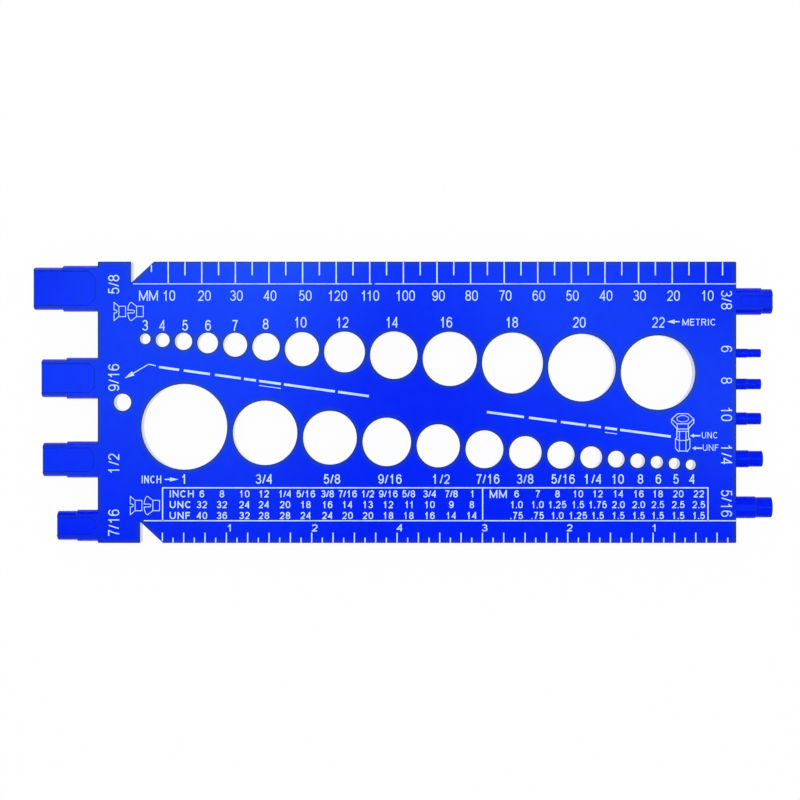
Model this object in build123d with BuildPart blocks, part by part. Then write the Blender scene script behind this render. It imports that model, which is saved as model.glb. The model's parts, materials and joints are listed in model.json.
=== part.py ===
from build123d import *
import os
from dataclasses import dataclass
from math import cos, radians, sin, sqrt, tan

# A thread checker moulded in one piece: a flat plate with two graded rows of holes for bolts,
# stepped posts along both ends for nuts, and two screw-head seats at the ends of its rulers.
# The printed face is up (+Z), the millimetre edge is +Y, and the largest posts point to -X.
# The origin is the centre of the overall box, on the back face.

inch = 25.4

# Plate
plate_length = 190.15
plate_width = 83.8
plate_thickness = 0.25 * inch
corner_round = 0.4
edge_round = 0.3

# Gauge holes: each is its nominal size plus the running clearance, with a light lead on the
# printed face, where the bolt enters
hole_clearance = 0.1
hole_break = 0.2

metric_sizes = [3, 4, 5, 6, 7, 8, 10, 12, 14, 16, 18, 20, 22]
metric_start = (-76.8, 18.9)
metric_fall = 3.77
metric_web = 1.71

number_sizes = {"10": 0.190, "8": 0.164, "6": 0.138, "5": 0.125, "4": 0.112}
inch_fractions = [1, 3 / 4, 5 / 8, 9 / 16, 1 / 2, 7 / 16, 3 / 8, 5 / 16, 1 / 4]
inch_sizes = [inch * size for size in inch_fractions + list(number_sizes.values())]
inch_start = (-65.15, -7.3)
inch_fall = 4.28
inch_web = 1.89

# Hanging hole near the end with the large posts
hang_diameter = 0.2 * inch
hang_inset = 7.4

# Screw-head seats: an upright wall for the top of the head and a slope for its cone, between the
# half angles of an 82 and a 90 degree head
seat_depth = 6.05
seat_floor = 0.3
seat_slope = 43.0
metric_seat_inset = 9.95
inch_seat_inset = 12.65

# Posts: a coarse nut stops at the shoulder and a fine nut, with its wider bore, passes over it
thread_truncation = 1.08253
pilot_share = 0.955
shoulder_share = 0.5
post_root = 1.5
tip_break = 0.1
step_break = 0.15

# Sunk panel on both flats of the posts that are wider than the plate is thick
panel_depth = 0.35
panel_land = 0.3
panel_draft = 30.0


@dataclass
class Post:
    """A stepped post, by its thread size, its threads per inch, its place and its two lengths.

    The last three say how the panel ends at the root: round or with cut corners, how far from the
    plate, and over what length it narrows.
    """

    nominal: float
    coarse: int
    fine: int
    centre_y: float
    shoulder_length: float
    pilot_length: float
    rounded_panel: bool = False
    panel_gap: float = 0.9
    panel_taper: float = 1.6

    @property
    def coarse_bore(self):
        """Bore of a coarse nut of this size."""
        return inch * (self.nominal - thread_truncation / self.coarse)

    @property
    def fine_bore(self):
        """Bore of a fine nut of this size."""
        return inch * (self.nominal - thread_truncation / self.fine)

    @property
    def pilot_radius(self):
        """Radius of the tip length, which every nut of this size passes."""
        return pilot_share * self.coarse_bore / 2

    @property
    def shoulder_radius(self):
        """Radius of the root length, between the coarse and the fine bore."""
        return (self.coarse_bore + shoulder_share * (self.fine_bore - self.coarse_bore)) / 2

    @property
    def reach(self):
        """How far the post stands out of the plate's end."""
        return self.shoulder_length + self.pilot_length

    @property
    def panel_width(self):
        """Width of the sunk panel, or 0 where the tip is thinner than the plate."""
        half_thickness = plate_thickness / 2
        if self.pilot_radius <= half_thickness:
            return 0.0
        return 2 * sqrt(self.pilot_radius**2 - half_thickness**2) - 2 * panel_land


large_end_posts = [
    Post(5 / 8, 11, 18, 33.95, 10.5, 8.6, panel_gap=0.5, panel_taper=2.3),
    Post(9 / 16, 12, 18, 7.2, 9.5, 7.25),
    Post(1 / 2, 13, 20, -17.1, 9.4, 7.0, rounded_panel=True),
    Post(7 / 16, 14, 20, -36.8, 6.35, 5.75, rounded_panel=True, panel_gap=0.3, panel_taper=1.9),
]
small_end_posts = [
    Post(3 / 8, 16, 24, 30.15, 7.8, 3.05, rounded_panel=True, panel_taper=1.1),
    Post(number_sizes["6"], 32, 40, 14.7, 3.75, 3.95),
    Post(number_sizes["8"], 32, 36, 5.45, 3.6, 4.1),
    Post(number_sizes["10"], 24, 32, -4.9, 3.6, 4.1),
    Post(1 / 4, 20, 28, -16.9, 4.1, 4.0),
    Post(5 / 16, 18, 24, -31.4, 6.1, 4.75),
]

# Places that follow from the sizes above
large_reach = max(post.reach for post in large_end_posts)
small_reach = max(post.reach for post in small_end_posts)
overall_length = large_reach + plate_length + small_reach
large_end = -overall_length / 2 + large_reach
small_end = overall_length / 2 - small_reach
top_edge = plate_width / 2
bottom_edge = -plate_width / 2
middle_height = plate_thickness / 2


def row_centres(start, fall, web, sizes):
    """Centres of a row of graded holes on one falling line, with an even web between them."""
    travel = 0.0
    centres = [start]
    for size, following in zip(sizes, sizes[1:]):
        travel += (size + following) / 2 + web
        centres.append((start[0] + travel * cos(radians(fall)), start[1] - travel * sin(radians(fall))))
    return centres


def seat_outline(wall_x, edge_y, inward):
    """The four points of a screw-head seat, from its upright wall to the foot of its slope."""
    floor_y = edge_y + inward * seat_depth
    slope_run = seat_depth / tan(radians(seat_slope))
    return [
        (wall_x, edge_y),
        (wall_x, floor_y),
        (wall_x + seat_floor, floor_y),
        (wall_x + seat_floor + slope_run, edge_y),
    ]


def make_panels(post):
    """The two shallow panels sunk into a post's flats, open at its tip, as one body to cut away."""
    half_width = post.panel_width / 2
    gap = post.panel_gap
    side = gap + post.panel_taper
    past_tip = 2 * post.reach
    with BuildPart() as panels:
        with BuildSketch(Plane.XY.offset(plate_thickness / 2)):
            with BuildLine():
                if post.rounded_panel:
                    end = ThreePointArc((side, half_width), (gap, 0), (side, -half_width))
                else:
                    end = Polyline(
                        (side, half_width),
                        (gap, half_width - post.panel_taper),
                        (gap, post.panel_taper - half_width),
                        (side, -half_width),
                    )
                Polyline(end @ 1, (past_tip, -half_width), (past_tip, half_width), end @ 0)
            make_face()
        extrude(amount=-panel_depth, taper=panel_draft)
        mirror(about=Plane.XY)
    return panels.part


def make_post(post):
    """A post along +X from the origin: turned profile, cut level with both plate faces, panelled."""
    with BuildPart() as body:
        with BuildSketch():
            with BuildLine():
                Polyline(
                    (-post_root, 0),
                    (-post_root, post.shoulder_radius),
                    (post.shoulder_length - step_break, post.shoulder_radius),
                    (post.shoulder_length, post.shoulder_radius - step_break),
                    (post.shoulder_length, post.pilot_radius),
                    (post.reach - tip_break, post.pilot_radius),
                    (post.reach, post.pilot_radius - tip_break),
                    (post.reach, 0),
                    close=True,
                )
            make_face()
        revolve(axis=Axis.X)
        if post.shoulder_radius > plate_thickness / 2:
            Box(4 * post.reach, 4 * post.shoulder_radius, plate_thickness, mode=Mode.INTERSECT)
    if post.panel_width == 0:
        return body.part
    panels = make_panels(post)
    with body:
        add(panels, mode=Mode.SUBTRACT)
    return body.part


metric_seat = seat_outline(large_end + metric_seat_inset, top_edge, -1)
inch_seat = seat_outline(large_end + inch_seat_inset, bottom_edge, 1)
hole_rows = [
    (metric_sizes, row_centres(metric_start, metric_fall, metric_web, metric_sizes)),
    (inch_sizes, row_centres(inch_start, inch_fall, inch_web, inch_sizes)),
]
posts = [(make_post(post), (large_end, post.centre_y, middle_height), 180) for post in large_end_posts]
posts += [(make_post(post), (small_end, post.centre_y, middle_height), 0) for post in small_end_posts]

with BuildPart() as gauge_plate:
    # Plate with its seats and rounded rim
    with BuildSketch() as outline:
        with BuildLine():
            Polyline(
                (large_end, bottom_edge),
                (large_end, top_edge),
                *metric_seat,
                (small_end, top_edge),
                (small_end, bottom_edge),
                *reversed(inch_seat),
                close=True,
            )
        make_face()
        end_corners = outline.vertices().group_by(Axis.X)
        fillet(end_corners[0] + end_corners[-1], corner_round)
    extrude(amount=plate_thickness)
    fillet(gauge_plate.faces().filter_by(Axis.Z).edges(), edge_round)

    # Both rows of gauge holes and the hanging hole, all the way through
    with BuildSketch():
        for sizes, centres in hole_rows:
            for size, centre in zip(sizes, centres):
                with Locations(centre):
                    Circle((size + hole_clearance) / 2)
        with Locations((large_end + hang_inset, 0)):
            Circle(hang_diameter / 2)
    extrude(amount=plate_thickness, mode=Mode.SUBTRACT)
    printed_face = gauge_plate.faces().sort_by(Axis.Z)[-1]
    chamfer([edge for wire in printed_face.inner_wires() for edge in wire.edges()], hole_break)

    # Posts, rooted inside the plate's ends
    for solid, place, turn in posts:
        with Locations(Location(place, (0, 0, turn))):
            add(solid)

gauge_plate.part.label = "gauge_plate"
os.makedirs("parts", exist_ok=True)
export_step(gauge_plate.part, "parts/gauge_plate.step")
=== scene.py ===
import json
import logging
from dataclasses import dataclass, field
from enum import Enum
from functools import cached_property, lru_cache
from math import asin, ceil, cos, degrees, hypot, radians, sin, tan
from typing import Sequence

import bpy
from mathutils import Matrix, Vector
from mathutils.geometry import delaunay_2d_cdt


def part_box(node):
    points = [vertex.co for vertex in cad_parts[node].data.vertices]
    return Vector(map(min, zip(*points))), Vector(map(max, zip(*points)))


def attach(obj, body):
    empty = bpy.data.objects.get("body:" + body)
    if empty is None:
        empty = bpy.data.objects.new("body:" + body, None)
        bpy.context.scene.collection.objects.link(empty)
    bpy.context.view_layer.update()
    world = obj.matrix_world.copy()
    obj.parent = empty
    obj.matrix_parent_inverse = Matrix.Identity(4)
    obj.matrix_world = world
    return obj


# Visual model of a moulded thread checker: the satin blue plastic of the plate, the white marks
# printed on its face, and the studio that it lies in. Places and sizes are in millimetres in the
# plate's own frame: +X towards the small posts, +Y towards the millimetre edge, +Z up.

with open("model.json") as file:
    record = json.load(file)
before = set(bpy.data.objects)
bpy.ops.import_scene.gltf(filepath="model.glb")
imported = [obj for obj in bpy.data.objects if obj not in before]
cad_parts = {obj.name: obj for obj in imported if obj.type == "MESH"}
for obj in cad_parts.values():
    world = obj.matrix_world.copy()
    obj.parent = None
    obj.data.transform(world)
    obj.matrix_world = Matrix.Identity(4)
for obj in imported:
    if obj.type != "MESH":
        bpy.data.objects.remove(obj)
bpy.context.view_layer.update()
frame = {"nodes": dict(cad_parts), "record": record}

MM = 0.001
PLATE = "gauge_plate"
BODY = "root"

# Points of a stroke closer than this are one point, and a turn of more degrees is a corner
SAME_PLACE = 0.0001
SHARP_TURN = 40.0

# Degrees from one point of an arc to the next, and decimals kept of a character's width
ARC_STEP = 15.0
WIDTH_DECIMALS = 4

# What the triangulation fills, and how close two crossings may come before they are one
WHOLE_HULL = 0
MERGE_REACH = 1e-5

# Top of the dot's short stroke in its unit box, where it ends as high as the line is wide
DOT_TOP = 0.01

Point = tuple[float, float]
Place = tuple[float, float, float]
Outline = tuple[Point, ...]
Colour = tuple[float, float, float, float]
Node = bpy.types.Node
Socket = bpy.types.NodeSocket
Feed = float | Colour | Socket

WHITE: Colour = (1.0, 1.0, 1.0, 1.0)

log = logging.getLogger("thread_checker")


# Geometry of the print

@dataclass(frozen=True)
class Stroke:
    """The centre line of one stroke, open or closed on itself."""

    points: tuple[Point, ...]
    closed: bool = False


@dataclass(frozen=True)
class Glyph:
    """A character: its strokes in a unit box, and its widths as shares of a figure's.

    A figure's own ink and advance are 1. The shift moves the ink within its cell.
    """

    strokes: tuple[Stroke, ...]
    ink: float = 1.0
    advance: float = 1.0
    shift: float = 0.0


@dataclass(frozen=True)
class InkShape:
    """A flat area of ink: its points, the faces that cover it and the edges round it."""

    points: tuple[Point, ...]
    faces: tuple[tuple[int, ...], ...]
    rim: tuple[tuple[int, int], ...]


def arc(centre: Point, radii: Point, start: float, end: float) -> list[Point]:
    """Points along an elliptical arc.

    Args:
        centre: Centre of the ellipse.
        radii: Its half width and half height.
        start: First angle in degrees, measured from +X towards +Y.
        end: Last angle in degrees, which may be less than the first.

    Returns:
        The points from the first angle to the last.
    """
    steps = max(2, ceil(abs(end - start) / ARC_STEP))
    angles = [radians(start + (end - start) * i / steps) for i in range(steps + 1)]
    return [(centre[0] + radii[0] * cos(a), centre[1] + radii[1] * sin(a)) for a in angles]


def path(*points: Point) -> Stroke:
    """An open stroke through the points given."""
    return Stroke(tuple(points))


def loop(*points: Point) -> Stroke:
    """A closed stroke through the points given."""
    return Stroke(tuple(points), True)


def oval(centre: Point, radii: Point) -> Stroke:
    """A closed elliptical stroke round a centre."""
    return loop(*arc(centre, radii, 0, 360)[:-1])


def unit(a: Point, b: Point) -> Point:
    """The direction from one point to another, one long."""
    length = hypot(b[0] - a[0], b[1] - a[1])
    return (b[0] - a[0]) / length, (b[1] - a[1]) / length


def moved(point: Point, way: Point, distance: float) -> Point:
    """A point moved along a direction."""
    return point[0] + way[0] * distance, point[1] + way[1] * distance


def turned(point: Point, turn: float, origin: Point) -> Point:
    """A point turned about zero by an angle in radians, and then set out from an origin."""
    x, y = point
    return origin[0] + x * cos(turn) - y * sin(turn), origin[1] + x * sin(turn) + y * cos(turn)


def turn_at(a: Point, b: Point, c: Point) -> float:
    """How far a line through three points turns at the middle one, in degrees."""
    return degrees((Vector(b) - Vector(a)).angle(Vector(c) - Vector(b)))


def smooth_runs(stroke: Stroke, width: float) -> list[Stroke]:
    """Cuts a stroke at its sharp corners, with both sides carried on to fill the corner.

    Args:
        stroke: The centre line, in millimetres.
        width: Width of the line.

    Returns:
        Strokes that turn gently.
    """
    points = [stroke.points[0]]
    for point in stroke.points[1:]:
        if hypot(point[0] - points[-1][0], point[1] - points[-1][1]) > SAME_PLACE:
            points.append(point)
    count = len(points)
    inner = range(count) if stroke.closed else range(1, count - 1)
    turns = [turn_at(points[i - 1], points[i], points[(i + 1) % count]) for i in inner]
    corners = [i for i, turn in zip(inner, turns) if turn > SHARP_TURN]
    if stroke.closed:
        if not corners:
            return [loop(*points)]
        first = corners[0]
        points = points[first:] + points[:first] + [points[first]]
        corners = [i - first for i in corners[1:]]
    cuts = [0] + corners + [len(points) - 1]
    runs = []
    for begin, finish in zip(cuts, cuts[1:]):
        run = points[begin:finish + 1]
        if begin > 0 or stroke.closed:
            run[0] = moved(run[0], unit(run[1], run[0]), width / 2)
        if finish < len(points) - 1 or stroke.closed:
            run[-1] = moved(run[-1], unit(run[-2], run[-1]), width / 2)
        runs.append(path(*run))
    return runs


def ribbon(stroke: Stroke, width: float) -> list[list[Point]]:
    """The quads of a line of even width along a stroke, with mitred bends and square ends.

    Args:
        stroke: The centre line, in millimetres.
        width: Width of the line.

    Returns:
        One quad for each length of the centre line.
    """
    quads = []
    for run in smooth_runs(stroke, width):
        points = run.points
        count = len(points)
        spans = [(i, (i + 1) % count) for i in range(count if run.closed else count - 1)]
        ways = [unit(points[i], points[j]) for i, j in spans]
        sides = []
        for i, point in enumerate(points):
            before = ways[i - 1] if i > 0 or run.closed else ways[0]
            after = ways[i] if i < len(ways) else ways[-1]
            across = (-before[1] - after[1], before[0] + after[0])
            reach = width / (across[0] ** 2 + across[1] ** 2)
            sides.append((moved(point, across, reach), moved(point, across, -reach)))
        quads += [[sides[i][0], sides[i][1], sides[j][1], sides[j][0]] for i, j in spans]
    return quads


def merged(areas: Sequence[Sequence[Point]]) -> InkShape:
    """One flat shape that covers several overlapping areas once.

    Args:
        areas: Closed outlines in millimetres, each listed anticlockwise.

    Returns:
        The shape, cut into triangles.
    """
    corners: list[Vector] = []
    outlines: list[list[int]] = []
    for area in areas:
        outlines.append(list(range(len(corners), len(corners) + len(area))))
        corners += [Vector(point) for point in area]
    points, _, triangles, _, _, sources = delaunay_2d_cdt(corners, [], outlines, WHOLE_HULL, MERGE_REACH)
    covered = [tuple(face) for face, source in zip(triangles, sources) if source]
    edges = {(a, b) for face in covered for a, b in zip(face, face[1:] + face[:1])}
    rim = [edge for edge in sorted(edges) if (edge[1], edge[0]) not in edges]
    used = sorted({i for face in covered for i in face})
    place = {old: new for new, old in enumerate(used)}
    return InkShape(
        tuple((points[i].x, points[i].y) for i in used),
        tuple(tuple(place[i] for i in face) for face in covered),
        tuple((place[a], place[b]) for a, b in rim),
    )


# The plain sans-serif figures and capitals that the gauge's marks use
SIX = (oval((0.5, 0.32), (0.5, 0.32)), path(*arc((0.53, 0.62), (0.53, 0.38), 32, 180), (0.0, 0.32)))
NINE = tuple(Stroke(tuple((1 - x, 1 - y) for x, y in s.points), s.closed) for s in SIX)
STADIUM = arc((0.5, 0.66), (0.5, 0.34), 0, 180) + arc((0.5, 0.34), (0.5, 0.34), 180, 360)
CHARACTERS = {
    "0": Glyph((loop(*STADIUM),)),
    "1": Glyph((path((1, 0), (1, 1)), path((0, 0.72), (0.6, 0.79), (0.98, 1))), 0.58, 1.0, -0.085),
    "2": Glyph((path(*arc((0.5, 0.7), (0.49, 0.3), 170, -32), (0, 0), (1, 0)),)),
    "3": Glyph((
        path(*arc((0.48, 0.755), (0.45, 0.245), 160, -90)),
        path(*arc((0.48, 0.262), (0.52, 0.262), 90, -165)),
        path((0.34, 0.517), (0.5, 0.517)),
    )),
    "4": Glyph((path((0.76, 0), (0.76, 1), (0, 0.27), (1, 0.27)),), 1.06),
    "5": Glyph((path((0.92, 1), (0.2, 1), (0.08, 0.48), *arc((0.48, 0.33), (0.52, 0.33), 135, -158)),)),
    "6": Glyph(SIX),
    "7": Glyph((path((0, 1), (1, 1), (0.68, 0.6), (0.47, 0.25), (0.4, 0)),)),
    "8": Glyph((oval((0.5, 0.76), (0.44, 0.24)), oval((0.5, 0.265), (0.5, 0.265)))),
    "9": Glyph(NINE),
    "/": Glyph((path((0, 0), (1, 1)),), 0.66),
    ".": Glyph((path((0.5, 0), (0.5, DOT_TOP)),), 0.1),
    "C": Glyph((path(*arc((0.5, 0.5), (0.5, 0.5), 42, 318)),), 1.3, 1.25),
    "E": Glyph((path((1, 0), (0, 0), (0, 1), (1, 1)), path((0, 0.53), (0.92, 0.53))), 1.1, 1.12),
    "F": Glyph((path((0, 0), (0, 1), (1, 1)), path((0, 0.52), (0.88, 0.52))), 1.05, 1.08),
    "H": Glyph((path((0, 0), (0, 1)), path((1, 0), (1, 1)), path((0, 0.53), (1, 0.53))), 1.22, 1.22),
    "I": Glyph((path((0.5, 0), (0.5, 1)),), 0.1, 0.5),
    "M": Glyph((path((0, 0), (0, 1), (0.5, 0.06), (1, 1), (1, 0)),), 1.45, 1.4),
    "N": Glyph((path((0, 0), (0, 1), (1, 0), (1, 1)),), 1.22, 1.22),
    "R": Glyph((
        path((0, 0), (0, 1), (0.55, 1), *arc((0.62, 0.76), (0.36, 0.24), 90, -90), (0, 0.52)),
        path((0.58, 0.52), (1, 0)),
    ), 1.2, 1.22),
    "T": Glyph((path((0, 1), (1, 1)), path((0.5, 1), (0.5, 0))), 1.15, 0.98, -0.02),
    "U": Glyph((path((0, 1), (0, 0.32), *arc((0.5, 0.32), (0.5, 0.32), 180, 360), (1, 1)),), 1.22, 1.22),
}


class Reading(Enum):
    """Which way a line of figures runs, as its turn in degrees."""

    ACROSS = 0.0
    UPWARD = 90.0
    DOWNWARD = -90.0


class Anchor(Enum):
    """The part of a line of figures that stands at its place, as a share of its length."""

    LEFT = 0.0
    CENTRE = 0.5


@dataclass(frozen=True)
class Lettering:
    """Sizes of a run of figures: height, width of one figure, its pitch and its line.

    The slash, the dot, the room between a 1 and a slash after it, and how much closer two ones
    stand are shares of the pitch.
    """

    cap: float
    ink: float
    advance: float
    line: float
    slash: float = 0.62
    dot: float = 0.42
    room: float = 0.0
    kern: float = 0.15

    def cells(self, text: str) -> list[tuple[str, float, float]]:
        """Each character with the left and right edge of its ink, the first one from zero.

        Args:
            text: The characters to set.

        Returns:
            The character, and where its ink starts and ends.
        """
        pen = 0.0
        found = []
        for sign, following in zip(text, text[1:] + " "):
            glyph = CHARACTERS[sign]
            pitch = {"/": self.slash, ".": self.dot}.get(sign, glyph.advance) * self.advance
            width = max(glyph.ink * self.ink, self.line)
            middle = pen + pitch / 2 + glyph.shift * self.advance
            found.append((sign, middle - width / 2, middle + width / 2))
            pen += pitch + {"1/": self.room, "11": -self.kern}.get(sign + following, 0.0) * self.advance
        start = found[0][1]
        return [(sign, left - start, right - start) for sign, left, right in found]


def point_height(stroke: Stroke, index: int, cap: float, line: float) -> float:
    """Height of a stroke's point, with an upright end carried out to the full height.

    Args:
        stroke: The stroke in its unit box.
        index: Which of its points.
        cap: Height of the character.
        line: Width of its strokes.

    Returns:
        The height in millimetres.
    """
    x, y = stroke.points[index]
    inside = line / 2 + y * (cap - line)
    if stroke.closed or index not in (0, len(stroke.points) - 1):
        return inside
    beside = stroke.points[1 if index == 0 else -2]
    if abs(beside[0] - x) >= abs(beside[1] - y):
        return inside
    return {0: 0.0, 1: cap, DOT_TOP: line}.get(y, inside)


@lru_cache(maxsize=None)
def glyph_shape(sign: str, width: float, cap: float, line: float) -> InkShape:
    """The ink of one character, from its lower left corner.

    Args:
        sign: The character.
        width: Width over its ink.
        cap: Height over its ink.
        line: Width of its strokes.

    Returns:
        The merged shape of its strokes.
    """
    quads = []
    for stroke in CHARACTERS[sign].strokes:
        points = tuple(
            (line / 2 + x * (width - line), point_height(stroke, i, cap, line))
            for i, (x, _) in enumerate(stroke.points)
        )
        quads += ribbon(Stroke(points, stroke.closed), line)
    return merged(quads)


@dataclass(frozen=True)
class Arrow:
    """A straight arrow with a solid head: its tip, its tail and the sizes of the head."""

    tip: Point
    tail: Point
    head_length: float
    head_width: float
    line: float

    def areas(self) -> list[list[Point]]:
        """The outlines of the head and the shaft.

        Returns:
            The head's triangle, then the shaft's quad, which starts inside the head.
        """
        way = unit(self.tip, self.tail)
        across = (-way[1], way[0])
        base = moved(self.tip, way, self.head_length)
        half = self.head_width / 2
        neck = moved(self.tip, way, self.head_length / 2)
        head = [self.tip, moved(base, across, -half), moved(base, across, half)]
        return [head, *ribbon(path(neck, self.tail), self.line)]


def into_scene(name: str, data: bpy.types.ID) -> bpy.types.Object:
    """A new object in the scene.

    Args:
        name: Name of the object.
        data: The mesh, lamp or camera that it holds.

    Returns:
        The object.
    """
    thing = bpy.data.objects.new(name, data)
    bpy.context.scene.collection.objects.link(thing)
    return thing


@dataclass
class InkSheet:
    """Collects one piece of the print and makes it as a thin closed mesh on the plate's face.

    Its lines and arrows are set out from its origin.
    """

    name: str
    face: float
    origin: Point = (0.0, 0.0)
    thickness: float = 0.025
    root: float = 0.05
    areas: list[Sequence[Point]] = field(default_factory=list)
    placed: list[tuple[InkShape, Point, float]] = field(default_factory=list)

    def line(self, width: float, *points: Point, closed: bool = False) -> None:
        """Adds a line of even width through the points."""
        self.areas += ribbon(Stroke(tuple(points), closed), width)

    def arrow(self, arrow: Arrow) -> None:
        """Adds an arrow."""
        self.areas += arrow.areas()

    def text(
        self, text: str, place: Point, lettering: Lettering, anchor: Anchor = Anchor.CENTRE,
        reading: Reading = Reading.ACROSS, length: float | None = None,
    ) -> None:
        """Adds a line of figures, centred on its height.

        Args:
            text: The characters.
            place: Where its anchor stands.
            lettering: The sizes of the figures.
            anchor: Which part of the line stands at the place.
            reading: Which way the line runs.
            length: The length to fit it to, or none to leave it as it falls.
        """
        cells = lettering.cells(text)
        natural = cells[-1][2]
        fit = 1.0 if length is None else length / natural
        turn = radians(reading.value)
        for sign, left, right in cells:
            width = max((right - left) * fit, lettering.line)
            middle = (left + right) / 2 * fit - natural * fit * anchor.value
            shape = glyph_shape(sign, round(width, WIDTH_DECIMALS), lettering.cap, lettering.line)
            corner = (middle - width / 2, -lettering.cap / 2)
            self.placed.append((shape, turned(corner, turn, place), turn))

    def row(
        self, values: Sequence[str], start: Point, pitch: float, asides: Sequence[float], lettering: Lettering
    ) -> None:
        """Adds figures at an even pitch, each moved aside as it is printed.

        Args:
            values: The figures.
            start: Where the first one stands.
            pitch: From each one to the next.
            asides: How far each one stands to the right of its even place.
            lettering: The sizes of the figures.
        """
        for i, (value, aside) in enumerate(zip(values, asides)):
            self.text(value, (start[0] + i * pitch + aside, start[1]), lettering)

    def make(self, material: bpy.types.Material) -> bpy.types.Object:
        """Makes the piece and lets it ride on the plate.

        Args:
            material: The ink.

        Returns:
            The new object.
        """
        shapes = list(self.placed)
        if self.areas:
            shapes.append((merged(self.areas), self.origin, 0.0))
        corners: list[Place] = []
        faces: list[tuple[int, ...]] = []
        for shape, origin, turn in shapes:
            start = len(corners)
            count = len(shape.points)
            flat = [turned(point, turn, origin) for point in shape.points]
            for height in (self.face + self.thickness, self.face - self.root):
                corners += [(x * MM, y * MM, height * MM) for x, y in flat]
            faces += [tuple(start + i for i in face) for face in shape.faces]
            faces += [tuple(start + count + i for i in reversed(face)) for face in shape.faces]
            faces += [(start + b, start + a, start + count + a, start + count + b) for a, b in shape.rim]
        mesh = bpy.data.meshes.new(self.name)
        mesh.from_pydata(corners, [], faces)
        mesh.materials.append(material)
        piece = into_scene(self.name, mesh)
        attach(piece, BODY)
        return piece


# Materials

class Bench:
    """Adds nodes to a tree and wires them."""

    def __init__(self, tree: bpy.types.NodeTree) -> None:
        """Works on one node tree."""
        self.tree = tree

    def feed(self, target: Socket, value: Feed) -> None:
        """Gives an input its value, or joins it to the output that gives it.

        Args:
            target: The input.
            value: A number, a colour or another node's output.
        """
        if isinstance(value, Socket):
            self.tree.links.new(value, target)
        else:
            target.default_value = value

    def add(self, kind: str, inputs: dict[str | int, Feed] | None = None, **settings: object) -> Node:
        """Adds a node.

        Args:
            kind: Blender's name for the node, after the words that all shader nodes share.
            inputs: What each input is fed, by its name or number.
            settings: Values for its own settings.

        Returns:
            The node.
        """
        node = self.tree.nodes.new("ShaderNode" + kind)
        for name, value in settings.items():
            setattr(node, name, value)
        for name, value in (inputs or {}).items():
            self.feed(node.inputs[name], value)
        return node

    def math(self, operation: str, first: Feed, second: Feed = 0.0, clamp: bool = False) -> Socket:
        """The result of a sum on one or two numbers."""
        return self.add("Math", {0: first, 1: second}, operation=operation, use_clamp=clamp).outputs[0]

    def ramp(self, value: Socket, old: Point = (0.0, 1.0), new: Point = (0.0, 1.0)) -> Socket:
        """A number carried from one range to another, and held at its ends."""
        ends = {"From Min": old[0], "From Max": old[1], "To Min": new[0], "To Max": new[1]}
        return self.add("MapRange", {"Value": value, **ends}).outputs["Result"]

    def mix(self, share: Feed, first: Feed, second: Feed, kind: str = "FLOAT") -> Socket:
        """A blend of two numbers, or of two colours where the kind is RGBA."""
        return self.add("Mix", {"Factor": share, "A": first, "B": second}, data_type=kind).outputs["Result"]

    def axis(self, vector: Socket, letter: str) -> Socket:
        """One of a vector's three numbers."""
        return self.add("SeparateXYZ", {"Vector": vector}).outputs[letter]

    def noise(self, place: Socket, scale: Feed, detail: float, roughness: float) -> Socket:
        """Cloudy noise about a middle of a half."""
        sizes = {"Scale": scale, "Detail": detail, "Roughness": roughness}
        return self.add("TexNoise", {"Vector": place, **sizes}).outputs["Fac"]

    def bump(self, height: Socket, strength: float, depth: float) -> Socket:
        """The normal that a height gives, where the depth is in millimetres."""
        sizes = {"Strength": strength, "Distance": depth * MM}
        return self.add("Bump", {"Height": height, **sizes}).outputs["Normal"]


def layered_noise(name: str, result: str, layers: dict[str, Place], share: float) -> bpy.types.NodeTree:
    """Makes a shader node group that blends two layers of cloudy noise into one number.

    Args:
        name: Name of the group.
        result: Name of the number that it puts out, from 0 to 1 about a middle of a half.
        layers: Usual scale, detail and roughness of each layer, by the name of its scale's input.
        share: Usual share of the second layer.

    Returns:
        The group's tree, whose inputs are a place, both scales and the share.
    """
    tree = bpy.data.node_groups.new(name, "ShaderNodeTree")
    tree.interface.new_socket("Place", in_out="INPUT", socket_type="NodeSocketVector")
    usual = {label: scale for label, (scale, _, _) in layers.items()}
    for label, value in {**usual, "Share": share}.items():
        socket = tree.interface.new_socket(label, in_out="INPUT", socket_type="NodeSocketFloat")
        socket.default_value = value
    tree.interface.new_socket(result, in_out="OUTPUT", socket_type="NodeSocketFloat")
    given = tree.nodes.new("NodeGroupInput").outputs
    bench = Bench(tree)
    clouds = [
        bench.noise(given["Place"], given[label], detail, roughness)
        for label, (_, detail, roughness) in layers.items()
    ]
    bench.feed(tree.nodes.new("NodeGroupOutput").inputs[result], bench.mix(given["Share"], *clouds))
    return tree


@lru_cache(maxsize=None)
def uneven_tone() -> bpy.types.NodeTree:
    """Soft blotches of two sizes, as a mask between a deep and a bright tone."""
    return layered_noise("uneven_tone", "Mask", {"Coarse": (40.0, 2.0, 0.5), "Fine": (600.0, 3.0, 0.6)}, 0.3)


@lru_cache(maxsize=None)
def fine_grain() -> bpy.types.NodeTree:
    """The fine grain that a spark-eroded mould leaves, over a slow ripple."""
    layers = {"Grain": (3000.0, 2.0, 0.6), "Ripple": (250.0, 1.0, 0.4)}
    return layered_noise("fine_grain", "Height", layers, 0.35)


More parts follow.
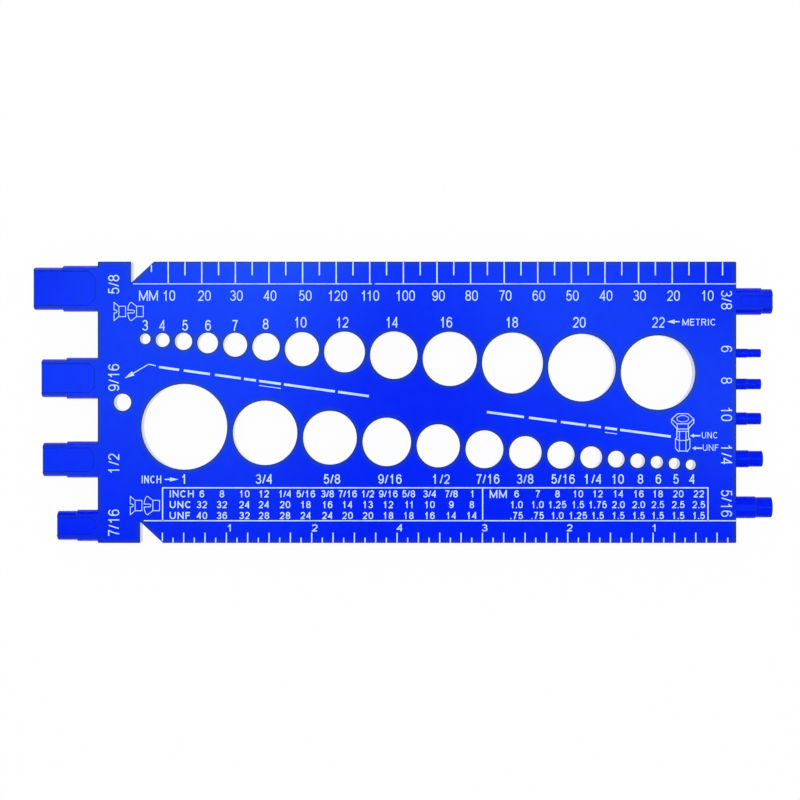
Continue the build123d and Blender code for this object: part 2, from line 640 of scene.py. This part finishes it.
@dataclass(frozen=True)
class Finish:
    """A finish with an uneven tone between two colours and a fine grain.

    The blotches and the mottle are counts per metre, and the tone's range is where its mask runs
    from the deep to the bright colour.
    """

    name: str
    deep: Colour
    bright: Colour
    blotches: float
    mottle: float
    mottle_share: float
    tone_range: Point
    grain_strength: float
    grain_depth: float
    specular: float

    def start(self) -> tuple[bpy.types.Material, Bench, dict[str, Socket]]:
        """Makes the material with what every finish shares: its tone, its grain and its gloss.

        Returns:
            The material, a bench on its tree, and its sockets: the place on the object in metres,
            the colour, the grain's height and the shader's own inputs by their names.
        """
        material = bpy.data.materials.new(self.name)
        material.use_nodes = True
        bench = Bench(material.node_tree)
        place = bench.add("TexCoord").outputs["Object"]
        sizes = {"Coarse": self.blotches, "Fine": self.mottle, "Share": self.mottle_share}
        tone = bench.add("Group", {"Place": place, **sizes}, node_tree=uneven_tone()).outputs["Mask"]
        grain = bench.add("Group", {"Place": place}, node_tree=fine_grain()).outputs["Height"]
        shader = material.node_tree.nodes["Principled BSDF"].inputs
        shader["Specular IOR Level"].default_value = self.specular
        bench.feed(shader["Normal"], bench.bump(grain, self.grain_strength, self.grain_depth))
        colour = bench.mix(bench.ramp(tone, self.tone_range), self.deep, self.bright, "RGBA")
        return material, bench, {"place": place, "colour": colour, "grain": grain, **dict(shader.items())}


@dataclass(frozen=True)
class MouldedPlastic(Finish):
    """Injection-moulded plastic: satin faces with shade painted darker along their rounded rims, and walls
    polished by their pins.
    """

    name: str = "moulded_plastic"
    deep: Colour = (0.0003, 0.005, 0.84, 1.0)
    bright: Colour = (0.0006, 0.014, 0.95, 1.0)
    blotches: float = 22.0
    mottle: float = 420.0
    mottle_share: float = 0.35
    tone_range: Point = (0.3, 0.7)
    grain_strength: float = 0.5
    grain_depth: float = 0.004
    specular: float = 0.055
    sheen: Colour = (0.2, 1.0, 0.6, 1.0)
    gloss_range: Point = (0.17, 0.22)
    # Painted shade: the darker blue that the base colour takes along the rounded rims, standing in for shade
    # and not a colour of the plastic
    edge: Colour = (0.008, 0.028, 0.46, 1.0)
    edge_openness: Point = (0.97, 0.66)
    edge_samples: int = 12
    plate_ends: Point = (-90.9, 99.1)
    end_blend: float = 0.1
    plate_edge_width: float = 1.8
    post_edge_width: float = 0.8
    wall_tilt: Point = (0.15, 0.05)
    wall_roughness: float = 0.05
    wall_index: float = 3.0
    grazing: Point = (0.5, 0.85)

    def walls(self, bench: Bench) -> Socket:
        """A mask that is one on the upright walls of holes and seats, and zero on what is tilted."""
        upward = bench.axis(bench.add("TexCoord").outputs["Normal"], "Z")
        return bench.ramp(bench.math("ABSOLUTE", upward), self.wall_tilt)

    def painted_rim_shade(self, bench: Bench, place: Socket, walls: Socket) -> Socket:
        """A mask for the shade painted along the rounded edges: one there, over a width that is wider on the
        plate than on the posts.

        Args:
            bench: The bench on the material's tree.
            place: The place on the object, in metres.
            walls: The mask of the upright walls, which have no rim.

        Returns:
            The mask.
        """
        left, right = (end * MM for end in self.plate_ends)
        half = (right - left) / 2
        along = bench.math("SUBTRACT", bench.axis(place, "X"), (left + right) / 2)
        widths = (self.plate_edge_width * MM, self.post_edge_width * MM)
        reach = bench.ramp(bench.math("ABSOLUTE", along), (half, half + self.end_blend * MM), widths)
        open_share = bench.add(
            "AmbientOcclusion", {"Distance": reach}, samples=self.edge_samples, inside=True, only_local=True
        ).outputs["AO"]
        return bench.math("SUBTRACT", bench.ramp(open_share, self.edge_openness), walls, clamp=True)

    def build(self) -> bpy.types.Material:
        """Makes the material.

        Returns:
            The new material.
        """
        material, bench, at = self.start()
        walls = self.walls(bench)
        painted_rim_shade = self.painted_rim_shade(bench, at["place"], walls)
        facing = bench.add("LayerWeight").outputs["Facing"]
        satin = bench.ramp(at["grain"], new=self.gloss_range)
        # Painted shade: the base colour is mixed towards the darker edge blue along the rounded rims
        bench.feed(at["Base Color"], bench.mix(painted_rim_shade, at["colour"], self.edge, "RGBA"))
        bench.feed(at["Roughness"], bench.mix(walls, satin, self.wall_roughness))
        bench.feed(at["Coat Weight"], bench.math("MULTIPLY", walls, bench.ramp(facing, self.grazing)))
        bench.feed(at["Coat IOR"], self.wall_index)
        bench.feed(at["Specular Tint"], self.sheen)
        return material


@dataclass(frozen=True)
class PrintedInk(Finish):
    """Pad-printed white ink, thin enough for a little of the blue to tint it."""

    name: str = "white_ink"
    deep: Colour = (0.36, 0.54, 0.92, 1.0)
    bright: Colour = (0.58, 0.77, 0.97, 1.0)
    blotches: float = 260.0
    mottle: float = 1800.0
    mottle_share: float = 0.4
    tone_range: Point = (0.3, 0.55)
    grain_strength: float = 0.4
    grain_depth: float = 0.003
    specular: float = 0.3
    roughness: float = 0.5

    def build(self) -> bpy.types.Material:
        """Makes the material.

        Returns:
            The new material.
        """
        material, bench, at = self.start()
        bench.feed(at["Base Color"], at["colour"])
        bench.feed(at["Roughness"], self.roughness)
        return material


# Sub-assemblies

class MountRow(Enum):
    """A row of holes or posts, as the start of its mounts' names."""

    METRIC_HOLES = "metric_hole"
    INCH_HOLES = "inch_hole"
    POSTS = "post"

    def mount(self, size: str) -> str:
        """The name of one mount in the row.

        Args:
            size: Its size as printed: millimetres, inches or a screw number.

        Returns:
            The name in the record.
        """
        if self is MountRow.METRIC_HOLES:
            return f"{self.value}_{size}mm"
        if size == "1" or "/" in size:
            return f"{self.value}_{size.replace('/', '_')}in"
        return f"{self.value}_no{size}"


@dataclass
class MouldedPlate:
    """The plate itself, one moulding with its holes, seats and posts, as the CAD gives it."""

    finish: MouldedPlastic = MouldedPlastic()
    small_end: float = 99.2

    @cached_property
    def edge(self) -> float:
        """How far the ruled edges stand from the middle."""
        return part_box(PLATE)[1][1] / MM

    def sheet(self, name: str, origin: Point = (0.0, 0.0)) -> InkSheet:
        """An empty sheet of ink on the printed face."""
        return InkSheet(name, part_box(PLATE)[1][2] / MM, origin)

    def mount(self, row: MountRow, size: str) -> Point:
        """Place of the hole or post of one size."""
        place = next(m for m in frame["record"]["mounts"] if m["name"] == row.mount(size))["pos_m"]
        return place[0] / MM, place[1] / MM

    def dress(self) -> bpy.types.Object:
        """Gives the plate its finish.

        Returns:
            The plate's object.
        """
        plate = frame["nodes"][PLATE]
        material = self.finish.build()
        for slot in plate.material_slots:
            slot.material = material
        return plate


class Print:
    """One part of the print, drawn on sheets of ink that each become a piece."""

    def draw(self, plate: MouldedPlate) -> list[InkSheet]:
        """Draws the sheets, in each part's own way."""
        raise NotImplementedError

    def build(self, plate: MouldedPlate, ink: bpy.types.Material) -> list[bpy.types.Object]:
        """Makes the pieces on the plate's face."""
        return [sheet.make(ink) for sheet in self.draw(plate)]


@dataclass
class Ruler(Print):
    """A ruler along one of the long edges: its base line, its ticks and its figures.

    The side is 1 on the upper edge and -1 on the lower one, and heights are distances from the
    plate's middle towards that side. The base line may have gaps, and its last length runs to the
    small end. Two lengths of tick take turns, and the first tick stands on the seat's slope.
    """

    name: str
    side: int
    base_line: float
    base_ends: tuple[float, ...]
    tick_line: float
    first_x: float
    step: float
    ticks: int
    tick_lengths: Point
    slope_tick: Point
    figures: str
    figure_place: Point
    figure_pitch: float
    asides: tuple[float, ...]
    lettering: Lettering
    unit_place: Point | None = None
    unit_length: float = 5.6
    base_height: float = 35.25
    edge_gap: float = 0.12

    def draw(self, plate: MouldedPlate) -> list[InkSheet]:
        """Draws the ruler.

        Args:
            plate: The plate that carries it.

        Returns:
            The sheet of its lines and the sheet of its figures.
        """
        lines = plate.sheet(self.name)
        base = self.side * self.base_height
        ends = [*self.base_ends, plate.small_end - self.edge_gap]
        for left, right in zip(ends[::2], ends[1::2]):
            lines.line(self.base_line, (left, base), (right, base))
        for i in range(self.ticks):
            x = self.first_x + i * self.step
            near, far = self.slope_tick
            if i > 0:
                near, far = plate.edge - self.tick_lengths[i % 2], plate.edge - self.edge_gap
            lines.line(self.tick_line, (x, self.side * near), (x, self.side * far))
        figures = plate.sheet(self.name + "_figures")
        figures.row(self.figures.split(), self.figure_place, self.figure_pitch, self.asides, self.lettering)
        if self.unit_place:
            figures.text("MM", self.unit_place, self.lettering, length=self.unit_length)
        return [lines, figures]


UPPER_RULER = Ruler(
    "print_mm_scale", side=1, base_line=0.26, base_ends=(-80.4, -9.3, -8.4),
    tick_line=0.38, first_x=-74.94, step=5.0, ticks=35, tick_lengths=(4.1, 6.65), slope_tick=(38.8, 40.85),
    figures="10 20 30 40 50 120 110 100 90 80 70 60 50 40 30 20 10",
    figure_place=(-69.64, 31.75), figure_pitch=10.0,
    asides=(0, 0.5, 0, 0, 0.5, 0.15, -0.15, 0.35, 0.15, 0, 0, 0, 0, 0, 0, 0.1, 0.25),
    lettering=Lettering(cap=3.1, ink=1.7, advance=2.02, line=0.32), unit_place=(-75.8, 31.75),
)
LOWER_RULER = Ruler(
    "print_inch_scale", side=-1, base_line=0.31, base_ends=(-77.2,),
    tick_line=0.36, first_x=-71.67, step=3.175, ticks=54, tick_lengths=(3.1, 1.6), slope_tick=(38.8, 41.3),
    figures="1 2 4 3 2 1", figure_place=(-51.45, -37.35), figure_pitch=25.25,
    asides=(-0.35, -0.1, -0.05, -0.05, 0.0, -0.2),
    lettering=Lettering(cap=2.15, ink=1.7, advance=1.7, line=0.33),
)


@dataclass
class ThreadTable(Print):
    """The ruled table of thread sizes and their pitches, above the inch scale."""

    left: float = -71.6
    divider: float = 23.65
    right: float = 90.7
    top: float = -25.45
    bottom: float = -35.3
    line: float = 0.36
    row_heights: tuple[float, float, float] = (-27.25, -30.45, -33.7)
    head_x: float = -69.5
    inch_x: float = -59.8
    inch_pitch: float = 6.165
    inch_asides: tuple[float, ...] = (-0.1, -0.3, 0.25, -0.1, 0, 0, 0.3, 0.1, 0, -0.1, -0.2, -0.1, 0.15, 0.1)
    metric_x: float = 33.9
    metric_pitch: float = 6.01
    metric_asides: tuple[float, ...] = (-0.12, 0.1, 0, 0.15, 0, 0.12, 0.15, -0.15, -0.1, 0)
    unit_place: Point = (28.3, -27.3)
    unit_length: float = 5.1
    lettering: Lettering = Lettering(cap=2.12, ink=1.37, advance=1.72, line=0.32, slash=0.45, dot=0.38)
    unit_lettering: Lettering = Lettering(cap=2.4, ink=1.5, advance=1.9, line=0.34)
    inch_rows: tuple[str, str, str] = (
        "6 8 10 12 1/4 5/16 3/8 7/16 1/2 9/16 5/8 3/4 7/8 1",
        "32 32 24 24 20 18 16 14 13 12 11 10 9 8",
        "40 36 32 28 28 24 24 20 20 18 18 16 14 14",
    )
    metric_rows: tuple[str, str, str] = (
        "6 7 8 10 12 14 16 18 20 22",
        "1.0 1.0 1.25 1.5 1.75 2.0 2.0 2.5 2.5 2.5",
        ".75 .75 1.0 1.25 1.5 1.5 1.5 1.5 1.5 1.5",
    )
    row_names: tuple[tuple[str, float], ...] = (("INCH", 7.2), ("UNC", 6.45), ("UNF", 6.25))
    name_lettering: Lettering = Lettering(cap=2.12, ink=1.35, advance=1.72, line=0.37)

    def draw(self, plate: MouldedPlate) -> list[InkSheet]:
        """Draws the table.

        Args:
            plate: The plate that carries it.

        Returns:
            The sheet of its ruling and the sheet of its figures.
        """
        ruling = plate.sheet("print_table_ruling")
        ruling.line(
            self.line, (self.left, self.bottom), (self.left, self.top),
            (self.right, self.top), (self.right, self.bottom),
        )
        ruling.line(self.line, (self.divider, self.top), (self.divider, self.bottom))
        figures = plate.sheet("print_table_figures")
        for y, (name, length), inches, metrics in zip(
            self.row_heights, self.row_names, self.inch_rows, self.metric_rows
        ):
            figures.text(name, (self.head_x, y), self.name_lettering, Anchor.LEFT, length=length)
            for values, x, pitch, asides in (
                (inches, self.inch_x, self.inch_pitch, self.inch_asides),
                (metrics, self.metric_x, self.metric_pitch, self.metric_asides),
            ):
                figures.row(values.split(), (x, y), pitch, asides, self.lettering)
        figures.text("MM", self.unit_place, self.unit_lettering, length=self.unit_length)
        return [ruling, figures]


@dataclass
class HoleFigures(Print):
    """The sizes printed along one row of holes, with the row's name and its arrow.

    Each size stands at its hole's X, moved by its aside, and at the row's height, moved by its lift.
    """

    name: str
    row: MountRow
    sizes: str
    height: float
    asides: tuple[float, ...]
    lifts: tuple[float, ...]
    lettering: Lettering
    title: str
    title_place: Point
    title_length: float
    title_lettering: Lettering
    arrow: Arrow

    def draw(self, plate: MouldedPlate) -> list[InkSheet]:
        """Draws the row.

        Args:
            plate: The plate that carries it.

        Returns:
            Its one sheet.
        """
        sheet = plate.sheet(self.name)
        for size, aside, lift in zip(self.sizes.split(), self.asides, self.lifts):
            x = plate.mount(self.row, size)[0] + aside
            sheet.text(size, (x, self.height + lift), self.lettering)
        sheet.text(self.title, self.title_place, self.title_lettering, length=self.title_length)
        sheet.arrow(self.arrow)
        return [sheet]


METRIC_FIGURES = HoleFigures(
    "print_metric_hole_figures", MountRow.METRIC_HOLES, "3 4 5 6 7 8 10 12 14 16 18 20 22", 23.8,
    asides=(0.0, -0.1, 0.5, 0.15, -0.1, -0.1, -0.4, -0.6, -0.5, -1.05, -0.15, -0.8, 0.1),
    lifts=(-0.9, -0.9, -0.9, -0.9, -0.9, -0.5, 0, 0, 0, 0, 0, 0, 0),
    lettering=Lettering(cap=3.17, ink=1.73, advance=2.02, line=0.36),
    title="METRIC", title_place=(88.1, 23.85), title_length=9.96,
    title_lettering=Lettering(cap=2.0, ink=1.2, advance=1.5, line=0.26),
    arrow=Arrow((78.5, 24.0), (82.3, 24.0), 2.3, 1.3, 0.35),
)
INCH_FIGURES = HoleFigures(
    "print_inch_hole_figures", MountRow.INCH_HOLES, "1 3/4 5/8 9/16 1/2 7/16 3/8 5/16 1/4 10 8 6 5 4", -22.83,
    asides=(-0.25, -0.3, 0.6, 0.95, 0.85, 0.95, -0.1, 0.6, 0.5, 0.45, 0.8, 0.45, 0.45, 0.35),
    lifts=(0.0,) * 14,
    lettering=Lettering(cap=2.85, ink=1.65, advance=2.05, line=0.36, slash=0.6, room=0.18),
    title="INCH", title_place=(-74.9, -22.95), title_length=5.8,
    title_lettering=Lettering(cap=2.3, ink=1.3, advance=1.7, line=0.32),
    arrow=Arrow((-66.9, -22.95), (-70.95, -22.95), 2.5, 1.2, 0.35),
)


@dataclass
class PostFigures(Print):
    """The sizes printed along one end, each one beside its post and moved a little along the edge."""

    name: str
    x: float
    sizes: str
    asides: tuple[float, ...]
    reading: Reading
    lettering: Lettering = Lettering(cap=3.3, ink=1.9, advance=2.35, line=0.33, slash=0.6, room=0.15)

    def draw(self, plate: MouldedPlate) -> list[InkSheet]:
        """Draws the figures.

        Args:
            plate: The plate that carries them.

        Returns:
            Their one sheet.
        """
        sheet = plate.sheet(self.name)
        for size, aside in zip(self.sizes.split(), self.asides):
            y = plate.mount(MountRow.POSTS, size)[1] + aside
            sheet.text(size, (self.x, y), self.lettering, reading=self.reading)
        return [sheet]


LARGE_POST_FIGURES = PostFigures(
    "print_large_post_figures", -86.15, "5/8 9/16 1/2 7/16",
    (1.13, 0.18, -1.1, 0.9), Reading.UPWARD,
)
SMALL_POST_FIGURES = PostFigures(
    "print_small_post_figures", 96.25, "3/8 6 8 10 1/4 5/16",
    (0.31, 1.16, 1.0, 1.35, 1.3, 1.3), Reading.DOWNWARD,
)


@dataclass
class ScrewOutlines(Print):
    """A countersunk and a round-head screw in outline, printed beside a screw-head seat.

    Points are set out from the middle of the pair, and a slot is given by half its width and its
    depth.
    """

    name: str
    middle: Point
    line: float = 0.21
    head_half: float = 2.72
    shank_half: float = 1.54
    flat_left: float = -4.35
    flat_neck: float = -2.93
    flat_end: float = -0.92
    flat_slot: Point = (0.44, 0.85)
    round_left: float = -0.27
    round_point: float = 0.82
    round_neck: float = 2.35
    round_end: float = 4.35
    round_slot: Point = (0.43, 2.0)

    def slot(self, x: float, half: float, depth: float) -> list[Point]:
        """The edge of a head's driver slot, from top to bottom round its floor."""
        return [(x, half), *arc((x + depth - half, 0), (half, half), 90, -90), (x, -half)]

    def draw(self, plate: MouldedPlate) -> list[InkSheet]:
        """Draws the two screws.

        Args:
            plate: The plate that carries them.

        Returns:
            Their one sheet.
        """
        sheet = plate.sheet(self.name, self.middle)
        high, low = self.head_half, self.shank_half
        sheet.line(
            self.line, (self.flat_neck, low), (self.flat_left, high),
            *self.slot(self.flat_left, *self.flat_slot),
            (self.flat_left, -high), (self.flat_neck, -low),
        )
        dome = ((self.round_point, 0), (self.round_point - self.round_left, high))
        lead = degrees(asin(self.round_slot[0] / high))
        sheet.line(
            self.line, (self.round_neck, low), *arc(*dome, 90, 180 - lead),
            *self.slot(self.round_left, *self.round_slot), *arc(*dome, 180 + lead, 270),
            (self.round_neck, -low),
        )
        for left, right in ((self.flat_neck, self.flat_end), (self.round_neck, self.round_end)):
            sheet.line(self.line, (left, low), (right, low), (right, -low), (left, -low), closed=True)
        return [sheet]


UPPER_SCREWS = ScrewOutlines("print_upper_screws", (-81.7, 27.03))
LOWER_SCREWS = ScrewOutlines("print_lower_screws", (-76.85, -30.72))


@dataclass
class BoltOutline(Print):
    """A stepped bolt with a hex head in outline, and two marks where coarse and fine nuts stop.

    The bolt's points are distances from its middle and heights. Each line is drawn on both sides,
    and the levels run from side to side.
    """

    middle: Point = (83.2, 0.0)
    line: float = 0.25
    hexagon: Outline = ((1.55, -3.4), (3.3, -5.0), (1.62, -6.4))
    crown_height: float = -4.9
    crown_radii: Point = (1.75, 0.95)
    crown_line: float = 0.175
    head_side: Outline = ((3.3, -5.0), (3.3, -6.1), (1.62, -7.95))
    head_edge: Outline = ((1.62, -6.4), (1.62, -7.95))
    shank_side: Outline = ((1.73, -7.95), (1.73, -10.5), (2.15, -10.9), (2.15, -13.6), (1.25, -14.75))
    step: Outline = ((2.15, -10.9), (0.97, -11.35))
    thread_root: Outline = ((0.97, -8.65), (0.97, -14.5))
    levels: Outline = ((1.62, -7.95), (1.73, -8.65), (0.97, -11.35), (1.25, -14.5))
    marks: tuple[tuple[str, Point, Arrow], ...] = (
        ("UNC", (91.25, -9.8), Arrow((85.45, -9.95), (88.45, -9.95), 1.1, 1.2, 0.42)),
        ("UNF", (91.55, -13.5), Arrow((86.0, -13.65), (88.9, -13.65), 1.1, 1.2, 0.42)),
    )
    mark_length: float = 4.75
    lettering: Lettering = Lettering(cap=1.9, ink=1.15, advance=1.5, line=0.22)

    def draw(self, plate: MouldedPlate) -> list[InkSheet]:
        """Draws the bolt and its two marks.

        Args:
            plate: The plate that carries them.

        Returns:
            The sheet of the bolt and the sheet of its marks.
        """
        bolt = plate.sheet("print_bolt_outline", self.middle)
        bolt.line(self.line, *self.hexagon, *((-half, y) for half, y in self.hexagon[::-1]), closed=True)
        crown = oval((0.0, self.crown_height), self.crown_radii)
        bolt.line(self.crown_line, *crown.points, closed=True)
        for points in (self.head_side, self.head_edge, self.shank_side, self.step, self.thread_root):
            bolt.line(self.line, *points)
            bolt.line(self.line, *((-half, y) for half, y in points))
        for half, y in self.levels:
            bolt.line(self.line, (-half, y), (half, y))
        words = plate.sheet("print_bolt_marks")
        for word, place, arrow in self.marks:
            words.text(word, place, self.lettering, length=self.mark_length)
            words.arrow(arrow)
        return [bolt, words]


@dataclass
class LegendBars(Print):
    """A slanting row of plain printed bars, with one of them underlined.

    Each bar runs between two distances from the row's start. A leader, where there is one, runs
    from its tail over its knee to its tip, and its head is given by length and width.
    """

    name: str
    start: Point
    fall: float
    bars: Outline
    underlined: int = 4
    bar_height: float = 0.7
    underline_drop: float = 1.35
    underline: float = 0.22
    leader: Outline = ()
    leader_line: float = 0.28
    leader_head: Point = (3.0, 1.45)

    def at(self, along: float, drop: float = 0.0) -> Point:
        """A point at a distance along the row, and a drop below its line."""
        return self.start[0] + along, self.start[1] - along * tan(radians(self.fall)) - drop

    def draw(self, plate: MouldedPlate) -> list[InkSheet]:
        """Draws the row.

        Args:
            plate: The plate that carries it.

        Returns:
            Its one sheet.
        """
        sheet = plate.sheet(self.name)
        for first, last in self.bars:
            sheet.line(self.bar_height, self.at(first), self.at(last))
        first, last = self.bars[self.underlined]
        sheet.line(self.underline, self.at(first, self.underline_drop), self.at(last, self.underline_drop))
        if self.leader:
            tail, knee, tip = self.leader
            sheet.line(self.leader_line, tail, knee)
            sheet.arrow(Arrow(tip, knee, *self.leader_head, self.leader_line))
        return [sheet]


UPPER_LEGEND = LegendBars(
    "print_upper_legend", (-72.7, 10.5), 7.9,
    ((0.0, 6.0), (7.4, 15.2), (16.7, 24.4), (25.3, 28.9), (29.8, 36.3), (37.2, 52.4), (53.3, 62.5)),
    leader=((-73.6, 10.86), (-75.76, 11.34), (-82.93, 7.11)),
)
LOWER_LEGEND = LegendBars(
    "print_lower_legend", (24.95, -2.9), 7.6,
    ((0.0, 11.0), (12.5, 20.7), (22.0, 29.5), (30.2, 33.9), (35.1, 38.7), (39.6, 54.7)),
)


# Studio

@dataclass(frozen=True)
class Lamp:
    """A square soft lamp that points at the middle of the plate: its place, its side and its watts."""

    name: str
    place: Place
    side: float
    watts: float

    def hang(self) -> None:
        """Makes the lamp."""
        data = bpy.data.lights.new(self.name, "AREA")
        data.size = self.side * MM
        data.energy = self.watts
        lamp = into_scene(self.name, data)
        lamp.location = Vector(self.place) * MM
        lamp.rotation_euler = (-lamp.location).to_track_quat("-Z", "Y").to_euler()


@dataclass
class Studio:
    """A plain pale floor, soft light from above and a camera straight over the plate.

    The key and the fill light the object, and the four sheen lamps are what its satin face mirrors.
    """

    floor_size: float = 4000.0
    floor_colour: Colour = (0.9, 0.9, 0.9, 1.0)
    floor_roughness: float = 0.9
    floor_glow: float = 0.95
    aim: Point = (-0.94, 0.68)
    camera_height: float = 600.0
    camera_clip: float = 10.0
    view_width: float = 238.1
    sensor: float = 36.0
    sky: float = 0.43
    lamps: tuple[Lamp, ...] = (
        Lamp("key", (-150, 750, 950), 700, 2.0),
        Lamp("fill", (500, -600, 900), 900, 0.8),
        Lamp("left_sheen", (-180, 45, 1000), 230, 1.8),
        Lamp("top_sheen", (-90, 170, 1000), 100, 1.4),
        Lamp("middle_sheen", (135, 90, 1000), 140, 0.95),
        Lamp("right_sheen", (270, 0, 1000), 100, 0.65),
    )

    def backdrop_share(self, bench: Bench) -> Socket:
        """Where the eye, a reflection or a view through glass meets the surface.

        Args:
            bench: The bench on the tree of the floor or the world.

        Returns:
            One there, and zero for every other ray.
        """
        rays = bench.add("LightPath").outputs
        seen = bench.math("MAXIMUM", rays["Is Camera Ray"], rays["Is Glossy Ray"])
        return bench.math("MAXIMUM", seen, rays["Is Transmission Ray"])

    def floor(self) -> None:
        """Makes the floor, whose own pale tone keeps the soft shadow under a white glow."""
        half = self.floor_size * MM / 2
        mesh = bpy.data.meshes.new("floor")
        corners = [(-half, -half, 0), (half, -half, 0), (half, half, 0), (-half, half, 0)]
        mesh.from_pydata(corners, [], [(0, 1, 2, 3)])
        piece = into_scene("floor", mesh)
        piece.location.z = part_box(PLATE)[0][2]
        material = bpy.data.materials.new("pale_floor")
        material.use_nodes = True
        nodes = material.node_tree.nodes
        bench = Bench(material.node_tree)
        shader = nodes["Principled BSDF"]
        shader.inputs["Base Color"].default_value = self.floor_colour
        shader.inputs["Roughness"].default_value = self.floor_roughness
        shader.inputs["Specular IOR Level"].default_value = 0.0
        glow = bench.add("Emission", {"Strength": 1.0}).outputs["Emission"]
        share = bench.math("MULTIPLY", self.backdrop_share(bench), self.floor_glow)
        blend = bench.add("MixShader", {"Fac": share, 1: shader.outputs["BSDF"], 2: glow})
        bench.feed(nodes["Material Output"].inputs["Surface"], blend.outputs["Shader"])
        mesh.materials.append(material)

    def world(self) -> None:
        """Makes an even pale sky that looks white and lights the plate softly."""
        world = bpy.data.worlds.new("studio")
        world.use_nodes = True
        world.node_tree.nodes.clear()
        bpy.context.scene.world = world
        bench = Bench(world.node_tree)
        light, white = (
            bench.add("Background", {"Color": WHITE, "Strength": strength}).outputs["Background"]
            for strength in (self.sky, 1.0)
        )
        blend = bench.add("MixShader", {"Fac": self.backdrop_share(bench), 1: light, 2: white})
        bench.add("OutputWorld", {"Surface": blend.outputs["Shader"]})

    def camera(self) -> None:
        """Makes the camera, straight above the plate with the millimetre edge on top."""
        data = bpy.data.cameras.new("camera")
        data.sensor_width = self.sensor
        data.lens = self.sensor * self.camera_height / self.view_width
        data.clip_start = self.camera_clip * MM
        camera = into_scene("camera", data)
        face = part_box(PLATE)[1][2]
        camera.location = (self.aim[0] * MM, self.aim[1] * MM, face + self.camera_height * MM)
        bpy.context.scene.camera = camera

    def build(self) -> None:
        """Makes the floor, the light and the camera."""
        self.floor()
        self.world()
        for lamp in self.lamps:
            lamp.hang()
        self.camera()
        bpy.context.scene.view_settings.view_transform = "Standard"


def main() -> None:
    """Builds the studio and the print round the plate, and reports each piece."""
    logging.basicConfig(level=logging.INFO, format="%(name)s: %(message)s")
    Studio().build()
    plate = MouldedPlate()
    log.info("dressed %s", plate.dress().name)
    ink = PrintedInk().build()
    prints = (
        UPPER_RULER, LOWER_RULER, ThreadTable(), METRIC_FIGURES, INCH_FIGURES, LARGE_POST_FIGURES,
        SMALL_POST_FIGURES, UPPER_SCREWS, LOWER_SCREWS, BoltOutline(), UPPER_LEGEND, LOWER_LEGEND,
    )
    for part in prints:
        for piece in part.build(plate, ink):
            log.info("made %s with %d faces", piece.name, len(piece.data.polygons))


if __name__ == "__main__":
    main()
